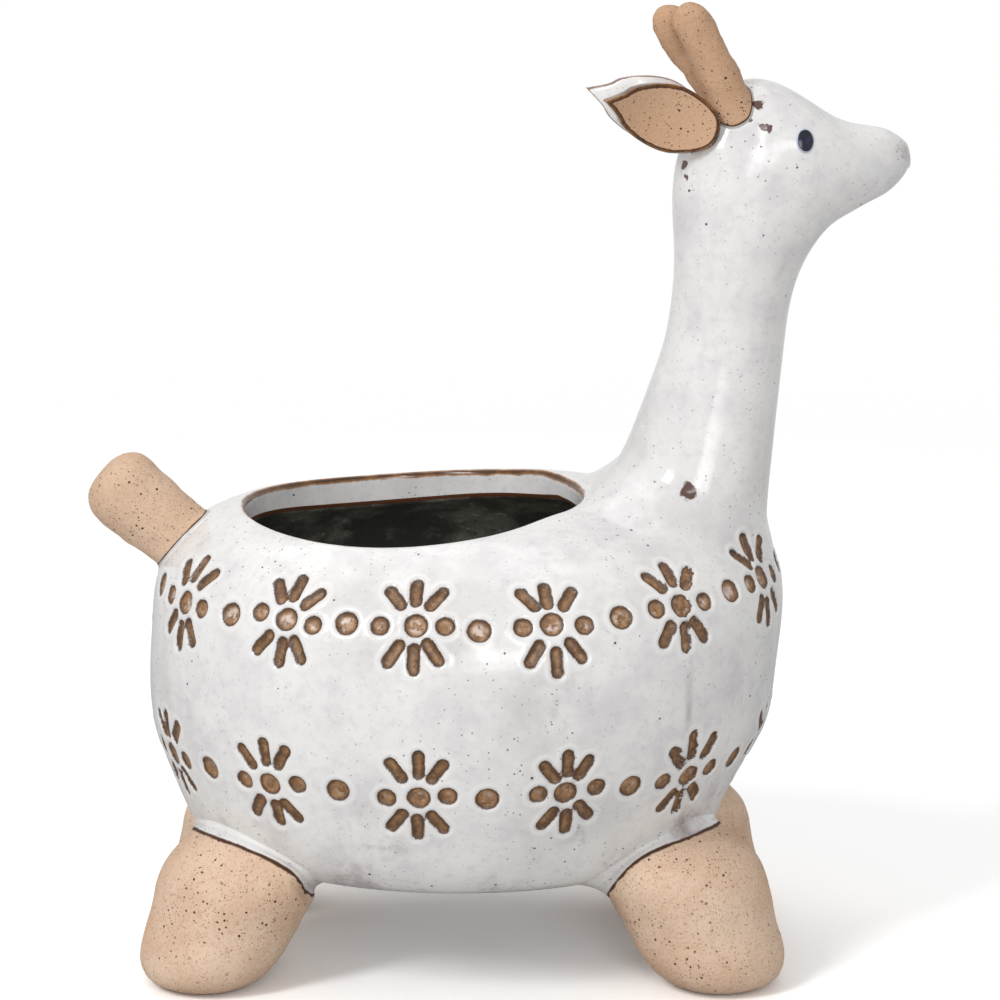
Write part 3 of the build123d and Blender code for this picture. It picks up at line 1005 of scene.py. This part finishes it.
def headTip(grid):  # rounds off the snout
    middle = grid[-1].mean(axis=0)
    outward = middle - grid[-6].mean(axis=0)
    outward /= np.linalg.norm(outward)
    rings = []
    for angle in np.radians([20, 40, 58, 74]):
        bulge = outward * neckHead["tipBulge"] * math.sin(angle)
        rings.append(middle + (grid[-1] - middle) * math.cos(angle) + bulge)
    return np.concatenate([grid, np.array(rings)]), middle + outward * neckHead["tipBulge"]


headGrid, headPole = headTip(neckGrid[seamRow:])
headPiece = gridPiece("headForm", headGrid, poleEnd=headPole)
finishPiece(headPiece, whiteGlaze, "glaze", "head")


# Luted joints: where a piece's side meets the clay that carries it

luteHalvings = 14  # steps of the search for the joint
luteSink = 0.12  # the fillet's edge lies this deep in the clay below


def luteRing(tree, host, base, axis, across, side, start, stop, columns, far):
    ring = []
    for ray in ringRays(across, side, columns):

        def look(along):  # point on the piece's side, or None once the host comes first
            origin = base + axis * along + ray * far
            own = tree.ray_cast(origin, -ray)
            other = host.ray_cast(origin, -ray)
            if own[0] is None or (other[0] is not None and other[3] < own[3]):
                return None
            return own[0]

        free, buried = start, stop
        for _ in range(luteHalvings):
            half = (free + buried) / 2
            if look(half) is None:
                buried = half
            else:
                free = half
        ring.append((free, look(free), ray))
    return ring


def fillet(tree, host, base, axis, lute, up, out, far, steps, waves, soft=0.0, limit=None):
    starts, corners, ends = [], [], []
    for along, corner, ray in lute:
        rise = up(ray)
        origin = base + axis * (along + rise) + ray * far
        hit = tree.ray_cast(origin, -ray)[0]
        starts.append(tuple(hit if hit is not None else corner + axis * rise))
        _, normal, _, _ = host.find_nearest(corner)
        run = (ray - normal * ray.dot(normal)).normalized()
        end, normal, _, _ = host.find_nearest(corner + run * out(ray))
        if limit:
            end = limit(end)
        corners.append(tuple(corner))
        ends.append(tuple(end - normal * luteSink))
    parts = [softenRound(np.array([part]), waves, len(lute))[0] for part in (starts, corners, ends)]
    start, corner, end = parts
    return bend3(start, corner * (1 - soft) + (start + end) / 2 * soft, end, steps)


neckFoot = {
    "up": 9.0, "out": 8.0, "chestOut": 2.2, "far": 34.0, "steps": 40, "waves": 14, "lipGap": 2.4,
    "freeAt": 8, "deepest": -32, "axisRing": 18,
}


def keepOffLip(end):  # the neck's foot stops short of the pot's lip
    out = Vector((end.x - mouthX, end.y))
    least = mouthRadius + neckFoot["lipGap"]
    if out.length >= least:
        return end
    kept = Vector((mouthX, 0)) + out.normalized() * least
    height = potTree.ray_cast(Vector((kept.x, kept.y, pot["rayStart"])), Vector((0, 0, -1)))[0]
    return Vector((kept.x, kept.y, height.z))


def makeNeck():
    centre, across, side, half = ringFrames()[0]
    top = ringFrames()[neckFoot["axisRing"]][0]
    axis = (top - centre) / (top.z - centre.z)
    columns = neckHead["columns"]
    lute = luteRing(neckTree, potTree, centre, axis, across, side, neckFoot["freeAt"], neckFoot["deepest"],
                    columns, neckFoot["far"])

    def spread(ray):  # the foot runs out least on the chest
        share = min(1.0, max(0.0, ray.x * 1.6))
        return neckFoot["out"] + share * (neckFoot["chestOut"] - neckFoot["out"])

    foot = fillet(neckTree, potTree, centre, axis, lute, lambda ray: neckFoot["up"], spread,
                  neckFoot["far"], neckFoot["steps"], neckFoot["waves"], limit=keepOffLip)
    clear = max(along for along, _, _ in lute) + neckFoot["up"]
    rows = [ring for ring in neckGrid[:seamRow + 1] if ring[:, 2].min() > centre.z + clear + 3]
    join = bend3(foot[0], (foot[0] + rows[0]) / 2, rows[0], 6)[1:-1]
    grid = np.concatenate([foot[::-1], join, np.array(rows)])
    return gridPiece("neckForm", easeRows(grid, 2.0, len(foot), 4))


def pressBands(*pieces):  # the stamps go through the pot and the neck's foot together
    skin = newPiece("bandSkin", *gather(piece.data for piece in pieces))
    values = dict(stamps, Skin=skin, Material=whiteGlaze)
    values["Middle"] = (potAxis * mm, 0.0, 0.0)
    values["Half length"] = (potHigh.x - potLow.x) / 2 * mm
    values["Half width"] = (potHigh.y - potLow.y) / 2 * mm
    tree = makeStampTree()
    for piece in pieces:
        bakeNodes(piece, tree, values)
    bpy.data.objects.remove(skin)


neckPiece = makeNeck()
pressBands(potWall, neckPiece)
finishPiece(potWall, whiteGlaze, "glaze", "pot_bowl")
finishPiece(neckPiece, whiteGlaze, "glaze", "neck")


# Bare clay bars: legs, tail and ossicones

barShape = {"capRings": 16, "firstLean": 4, "feel": 6.0, "waves": 10, "soften": 1.2}


def barPiece(name, tree, host, bar):
    base, axis = bar["base"], bar["axis"]
    across, side = bar["across"], bar["side"]
    columns, far = bar["columns"], bar["far"]
    lute = luteRing(tree, host, base, axis, across, side, bar["capAt"], bar["deepest"], columns, far)
    way = -np.sign(bar["deepest"] - bar["capAt"])
    foot = fillet(tree, host, base, axis, lute, lambda ray: way * bar["up"](ray), bar["out"], far,
                  bar["steps"], bar["waves"], bar["soft"])
    capMiddle = base + axis * bar["capAt"]
    tipWay = bar["tipWay"]
    rays = ringRays(across, side, columns)
    rings = []
    for angle in np.linspace(barShape["firstLean"], 90, barShape["capRings"]):
        lean = math.radians(angle)
        ring = []
        for level in rays:
            ray = tipWay * math.cos(lean) + level * math.sin(lean)
            ring.append(tuple(tree.ray_cast(capMiddle + ray * far, -ray)[0]))
        rings.append(ring)
    start, end = np.array(rings[-1]), foot[0]
    feel = barShape["feel"]
    for share in np.linspace(0, 1, bar["rings"] + 2)[1:-1]:
        ring = []
        for k, ray in enumerate(rays):
            aim = Vector(start[k] * (1 - share) + end[k] * share)
            hit = tree.ray_cast(aim + ray * feel, -ray, 2 * feel)[0]
            ring.append(tuple(hit if hit is not None else aim))
        rings.append(ring)
    body = softenRows(softenRound(np.array(rings), barShape["waves"], columns), barShape["soften"])
    grid = easeRows(np.concatenate([body, foot]), 1.5, 1, 5)
    shift = np.array([bar["overrun"](ray) for _, _, ray in lute])
    footSteps = np.linspace(0, 1, len(foot))[:, None] + shift
    glazed = np.concatenate([np.zeros((len(body), columns)), footSteps])
    border = np.clip((0.5 - shift) * (len(foot) - 1), 0, len(foot) - 1).round().astype(int)
    fromLine = np.linalg.norm(grid - foot[border, np.arange(columns)], axis=2)
    line = np.clip(1.15 - fromLine / bar["lineWidth"], 0, 1)
    grid = roughen(grid, bar["dent"], bar["dentScale"], np.clip(1 - glazed * 3, 0, 1))
    pole = grid[0].mean(axis=0)
    toast = np.full_like(line, bar["toast"])
    return gridPiece(name, grid, poleStart=pole, glazed=glazed, line=line, toast=toast)


def roughen(grid, depth, scale, share):  # hand-worked unevenness
    centre = grid.mean(axis=1, keepdims=True)
    away = grid - centre
    length = np.linalg.norm(away, axis=2, keepdims=True)
    push = np.array([[noise.fractal(Vector(point) * scale, 1.0, 2.0, 3) for point in row] for row in grid])
    push = (push * depth * share)[:, :, None]
    return grid + away / np.maximum(length, 0.5) * push * np.minimum(length / 3, 1)


legLook = {
    "columns": 96, "far": 30.0, "rings": 26, "steps": 14, "capAt": 10.0, "waves": 7, "soft": 0.4,
    "deepest": 37.0, "lineWidth": 1.5, "dent": 0.3, "dentScale": 0.09, "toast": 0.0,
}
legSpread = (2.8, 9.5)  # run of the fillet on the pot's side and under its belly
legRise = (2.6, 5.5)  # and down the leg, outside and inside
legLean = 0.19
legHip = 27.0


def makeLeg(corner):
    node = "leg_" + corner
    tree = searchTree(node)
    sole = [v.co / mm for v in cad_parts[node].data.vertices if v.co.z < 0.01 * mm]
    footX = sum(point.x for point in sole) / len(sole)
    footY = sum(point.y for point in sole) / len(sole)
    lean = Vector(((potAxis - footX) * legLean / legHip, -footY * legLean / legHip, 1))
    bar = dict(legLook, base=Vector((footX, footY, 0)), axis=lean, tipWay=Vector((0, 0, -1)))
    inward = Vector((potAxis - footX, -footY, 0)).normalized()
    bar.update(across=Vector((1, 0, 0)), side=Vector((0, 1, 0)))
    bar["out"] = lambda ray: legSpread[0] + (legSpread[1] - legSpread[0]) * max(0.0, ray.dot(inward))
    bar["up"] = lambda ray: legRise[0] + (legRise[1] - legRise[0]) * max(0.0, ray.dot(inward))
    bar["overrun"] = lambda ray: 0.42 * max(0.0, ray.dot(inward))
    piece = barPiece("leg" + corner.title().replace("_", ""), tree, potTree, bar)
    finishPiece(piece, bareClay, "bare_clay", node)


for end in ("front", "rear"):
    for hand in ("left", "right"):
        makeLeg(end + "_" + hand)

tailLook = {
    "columns": 80, "far": 30.0, "rings": 18, "steps": 8, "capAt": 16.5, "waves": 10, "soft": 0.0,
    "out": lambda ray: 1.8, "up": lambda ray: 1.6, "overrun": lambda ray: 0.0,
    "deepest": -14.0, "lineWidth": 1.2, "dent": 0.5, "dentScale": 0.12, "toast": 0.35,
}
tailRoot = Vector((-71.2, 0, 96.4))
tailRise = math.radians(40.7)


def makeTail():
    axis = Vector((-math.cos(tailRise), 0, math.sin(tailRise)))
    across = Vector((math.sin(tailRise), 0, math.cos(tailRise)))
    bar = dict(tailLook, base=tailRoot, axis=axis, tipWay=axis, across=across, side=axis.cross(across))
    piece = barPiece("tailBar", searchTree("tail"), potTree, bar)
    finishPiece(piece, bareClay, "bare_clay", "tail")


makeTail()

hornLook = {
    "columns": 64, "far": 16.0, "rings": 16, "steps": 7, "capAt": 16.6, "waves": 8, "soft": 0.0,
    "out": lambda ray: 1.0, "up": lambda ray: 1.0, "overrun": lambda ray: 0.0,
    "deepest": -9.0, "lineWidth": 0.9, "dent": 0.6, "dentScale": 0.16, "toast": 1.0,
}
headTurn = math.radians(9)
hornRoot = (-4.8, 5.5, 200.7)
hornLean = {"left": 37, "right": 26}


def onHead(x, y, z):  # point given ahead of and beside the head's turning axis
    cos, sin = math.cos(headTurn), math.sin(headTurn)
    return Vector((neckHead["turnAxis"] + x * cos - y * sin, x * sin + y * cos, z))


def makeHorn(hand, out):
    lean = math.radians(hornLean[hand])
    ahead = Vector((math.cos(headTurn), math.sin(headTurn), 0))
    axis = -ahead * math.sin(lean) + Vector((0, 0, 1)) * math.cos(lean)
    across = ahead * math.cos(lean) + Vector((0, 0, 1)) * math.sin(lean)
    base = onHead(hornRoot[0], out * hornRoot[1], hornRoot[2])
    bar = dict(hornLook, base=base, axis=axis, tipWay=axis, across=across, side=axis.cross(across))
    node = "ossicone_" + hand
    piece = barPiece("horn_" + hand, searchTree(node), headTree, bar)
    finishPiece(piece, bareClay, "bare_clay", node)


# Ears: leaf shells with a bare dish and a glazed back

earLook = {
    "voxel": 0.42, "smooth": 10, "tipDish": 0.35, "rootDish": 0.62, "sink": 0.7, "reach": 1.1,
    "border": 0.6, "rim": 0.15, "fade": 0.55, "toast": 0.9,
}


def makeEar(hand, out):
    node = "ear_" + hand
    piece = addObject("ear_" + hand + "_leaf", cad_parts[node].data.copy())
    weld = piece.modifiers.new("weld", "WELD")
    weld.merge_threshold = 1e-6
    remesh = piece.modifiers.new("remesh", "REMESH")
    remesh.mode = "VOXEL"
    remesh.voxel_size = earLook["voxel"] * mm
    soften = piece.modifiers.new("soften", "SMOOTH")
    soften.factor = 0.5
    soften.iterations = earLook["smooth"]
    keepShape(piece)
    points = [v.co / mm for v in piece.data.vertices]
    normals = [Vector(v.normal) for v in piece.data.vertices]
    outward = Vector((-math.sin(headTurn), math.cos(headTurn), 0)) * out
    rear = min(point.x for point in points)
    length = max(point.x for point in points) - rear
    dish = []
    for point, normal in zip(points, normals):
        share = (point.x - rear) / length
        dish.append(normal.dot(outward) > earLook["tipDish"] * (1 - share) + earLook["rootDish"] * share)
    bare, coated = KDTree(len(points)), KDTree(len(points))
    for i, point in enumerate(points):
        (bare if dish[i] else coated).insert(point, i)
    bare.balance()
    coated.balance()
    glazed, line, thin = [], [], []
    for i, point in enumerate(points):
        gap = coated.find(point)[2] if dish[i] else -bare.find(point)[2]
        glazed.append(min(1.0, max(0.0, 0.5 + (earLook["border"] - gap) / 1.6)))
        line.append(max(0.0, 1.2 - abs(gap - earLook["border"]) / 0.6))
        side = abs(normals[i].dot(outward) - earLook["rim"])
        thin.append(0.9 if gap > -0.3 else min(0.9, max(0.0, 1.8 - side / earLook["fade"])))
    for i, point in enumerate(points):
        _, normal, _, gap = headTree.find_nearest(point)
        if gap < earLook["reach"]:
            piece.data.vertices[i].co = (point - normal * earLook["sink"]) * mm
    toast = [earLook["toast"]] * len(points)
    addMarks(piece.data, {"glazed": glazed, "line": line, "thin": thin, "toast": toast})
    piece.data.shade_smooth()
    finishPiece(piece, bareClay, "bare_clay", node)


eyeShape = {"rings": 16, "columns": 48, "bulge": 0.25, "brim": 1.10, "sink": 0.9}


def makeEyeball(hand):
    node = "eye_" + hand
    low, high = boxOf(node)
    middle = (low + high) / 2
    verts = np.array([tuple(v.co / mm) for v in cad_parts[node].data.vertices])
    outward = max((Vector(p.normal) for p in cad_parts[node].data.polygons),
                  key=lambda n: n.dot(Vector((0, 1 if hand == "left" else -1, 0.2))))
    along = Vector((0, 0, 1)) - outward * outward.z
    along.normalize()
    across = outward.cross(along)
    flat = (verts - np.array(middle)) @ np.array([across, along, outward]).T
    halfWide, halfTall, top = flat[:, 0].max(), flat[:, 1].max(), flat[:, 2].max()
    grid, share = [], []
    for r in np.linspace(0.04, eyeShape["brim"], eyeShape["rings"]):
        rise = top + eyeShape["bulge"] * (1 - r**2) if r <= 1 else top - (r - 1) * 4 * eyeShape["sink"]
        ring = []
        for k in range(eyeShape["columns"]):
            turn = 2 * math.pi * k / eyeShape["columns"]
            spot = middle + across * (halfWide * r * math.cos(turn)) + along * (halfTall * r * math.sin(turn))
            ring.append(tuple(spot + outward * rise))
        grid.append(ring)
        share.append([r] * eyeShape["columns"])
    pole = middle + outward * (top + eyeShape["bulge"])
    piece = gridPiece("eyeball_" + hand, np.array(grid), flip=True, poleStart=tuple(pole), across=share)
    finishPiece(piece, eyeGlaze, "eye_glaze", node)


for hand, out in (("left", 1), ("right", -1)):
    makeHorn(hand, out)
    makeEar(hand, out)
    makeEyeball(hand)


# Stopper: turned plug with a pull tab

plugShape = {"columns": 72, "round": 0.5, "flange": 1.6, "tab": (9.0, 2.6, 4.5)}


def makePlug():
    x = (plugLow.x + plugHigh.x) / 2
    wide = (plugHigh.x - plugLow.x) / 2
    tabLong, tabThick, tabHigh = plugShape["tab"]
    flangeTop = plugHigh.z - tabHigh
    seat = flangeTop - plugShape["flange"]
    r = plugShape["round"]
    stem = drainRadius - 0.08
    outline = [(0.4, plugLow.z), (stem - 1.1, plugLow.z), (stem - 0.6, plugLow.z + r)]
    outline += [(stem - 0.2, seat - 2.5), (stem, seat - 0.25), (stem + 0.3, seat)]
    outline += [(wide - r, seat), (wide - 0.1, seat + 0.15), (wide, seat + r)]
    outline += [(wide, flangeTop - r), (wide - 0.15, flangeTop - 0.15)]
    outline += [(wide - r, flangeTop), (wide - 2, flangeTop + 0.05)]
    outline += [(tabLong * 0.45, flangeTop + 0.1), (0.4, flangeTop + 0.1)]
    turn = np.arange(plugShape["columns"]) * 2 * math.pi / plugShape["columns"]
    grid = np.array([[(x + out * math.cos(t), out * math.sin(t), z) for t in turn] for out, z in outline])
    body = gridPiece("stopper", grid, poleStart=(x, 0, plugLow.z), poleEnd=(x, 0, flangeTop + 0.1))
    tabRows = []
    for share in np.linspace(0, 1, 9):
        shrink = math.sqrt(max(0.0, 1 - max(0.0, share - 0.75) ** 2 * 12))
        height = flangeTop - 0.3 + share * (tabHigh + 0.3)
        ring = []
        for t in turn:
            cos, sin = math.cos(t), math.sin(t)
            ring.append((
                x + math.copysign(abs(cos) ** 0.35, cos) * tabLong / 2 * (0.8 + 0.2 * shrink),
                math.copysign(abs(sin) ** 0.5, sin) * tabThick / 2 * shrink,
                height,
            ))
        tabRows.append(ring)
    tab = gridPiece("stopperTab", np.array(tabRows), poleEnd=(x, 0, plugHigh.z))
    finishPiece(body, stopperRubber, "stopper", "drain_plug", body="stopper")
    finishPiece(tab, stopperRubber, "stopper", body="stopper")


makePlug()
print("pieces made")


# Stage: pale floor, soft studio light and the camera

stage = {
    "floorSize": 3.0,
    "fadeStart": 0.20,
    "fadeEnd": 0.75,
    "worldLight": 0.42,
    "floorShade": 0.62,
    "floorSeen": 1.45,
    "aim": (0.0009, 0.0, 0.1056),
    "azimuth": 0.0,
    "elevation": 12.5,
    "distance": 1.0,
    "field": 0.2281,
}


def makeFloor():
    half = stage["floorSize"] / 2
    corners = [(-half, -half, 0), (half, -half, 0), (half, half, 0), (-half, half, 0)]
    mesh = bpy.data.meshes.new("floor")
    mesh.from_pydata(corners, [], [[0, 1, 2, 3]])
    floor = addObject("floor", mesh)
    look = Finish("paleFloor")
    away = look.node("ShaderNodeVectorMath", {"operation": "LENGTH"}, {0: look.place}, out="Value")
    seen = look.node("ShaderNodeLightPath", out="Is Camera Ray")
    shade, bright = [(stage[key],) * 3 + (1.0,) for key in ("floorShade", "floorSeen")]
    pale = look.node("ShaderNodeBsdfDiffuse", {}, {"Color": seen.blend(shade, bright)})
    clear = look.node("ShaderNodeBsdfTransparent")
    fade = away.step(stage["fadeStart"], stage["fadeEnd"])
    mesh.materials.append(look.finish(look.node("ShaderNodeMixShader", {}, {0: fade, 1: pale, 2: clear})))


def makeWorld():
    world = bpy.data.worlds.new("studio")
    world.use_nodes = True
    bpy.context.scene.world = world
    w = Wire(world.node_tree)
    world.node_tree.nodes.clear()
    path = w.node("ShaderNodeLightPath", out="Is Camera Ray")
    seen = path.atLeast(path.other("Is Glossy Ray") * 0.75)
    light = w.node("ShaderNodeBackground", {}, {"Color": (1, 1, 1, 1), "Strength": stage["worldLight"]})
    white = w.node("ShaderNodeBackground", {}, {"Color": (1, 1, 1, 1), "Strength": 1.0})
    mixed = w.node("ShaderNodeMixShader", {}, {0: seen, 1: light, 2: white})
    w.node("ShaderNodeOutputWorld", {}, {"Surface": mixed}, out=None)


lamps = {
    "key": {"place": (-0.62, -0.68, 0.80), "size": (0.22, 0.45), "power": 4.8},
    "front": {"place": (0.20, -1.18, 0.40), "size": (0.5, 0.35), "power": 2.4},
    "strip": {"place": (0.10, -1.05, 0.62), "size": (0.05, 0.55), "power": 1.1},
    "top": {"place": (-0.15, 0.30, 1.2), "size": (0.8, 0.8), "power": 3.0},
}


def makeLamps():
    for name, lamp in lamps.items():
        data = bpy.data.lights.new(name, "AREA")
        data.shape = "RECTANGLE"
        data.size, data.size_y = lamp["size"]
        data.energy = lamp["power"]
        lampObject = addObject(name, data)
        lampObject.location = lamp["place"]
        aim = Vector((0, 0, 0.1)) - Vector(lamp["place"])
        lampObject.rotation_euler = aim.to_track_quat("-Z", "Y").to_euler()


def makeCamera():
    data = bpy.data.cameras.new("camera")
    data.sensor_width = 36.0
    data.lens = data.sensor_width * stage["distance"] / stage["field"]
    camera = addObject("camera", data)
    turn, rise = math.radians(stage["azimuth"]), math.radians(stage["elevation"])
    back = Vector((math.sin(turn) * math.cos(rise), -math.cos(turn) * math.cos(rise), math.sin(rise)))
    camera.location = Vector(stage["aim"]) + back * stage["distance"]
    camera.rotation_euler = (-back).to_track_quat("-Z", "Y").to_euler()
    bpy.context.scene.camera = camera


makeFloor()
makeWorld()
makeLamps()
makeCamera()
bpy.context.scene.view_settings.view_transform = "Standard"
print("stage set")
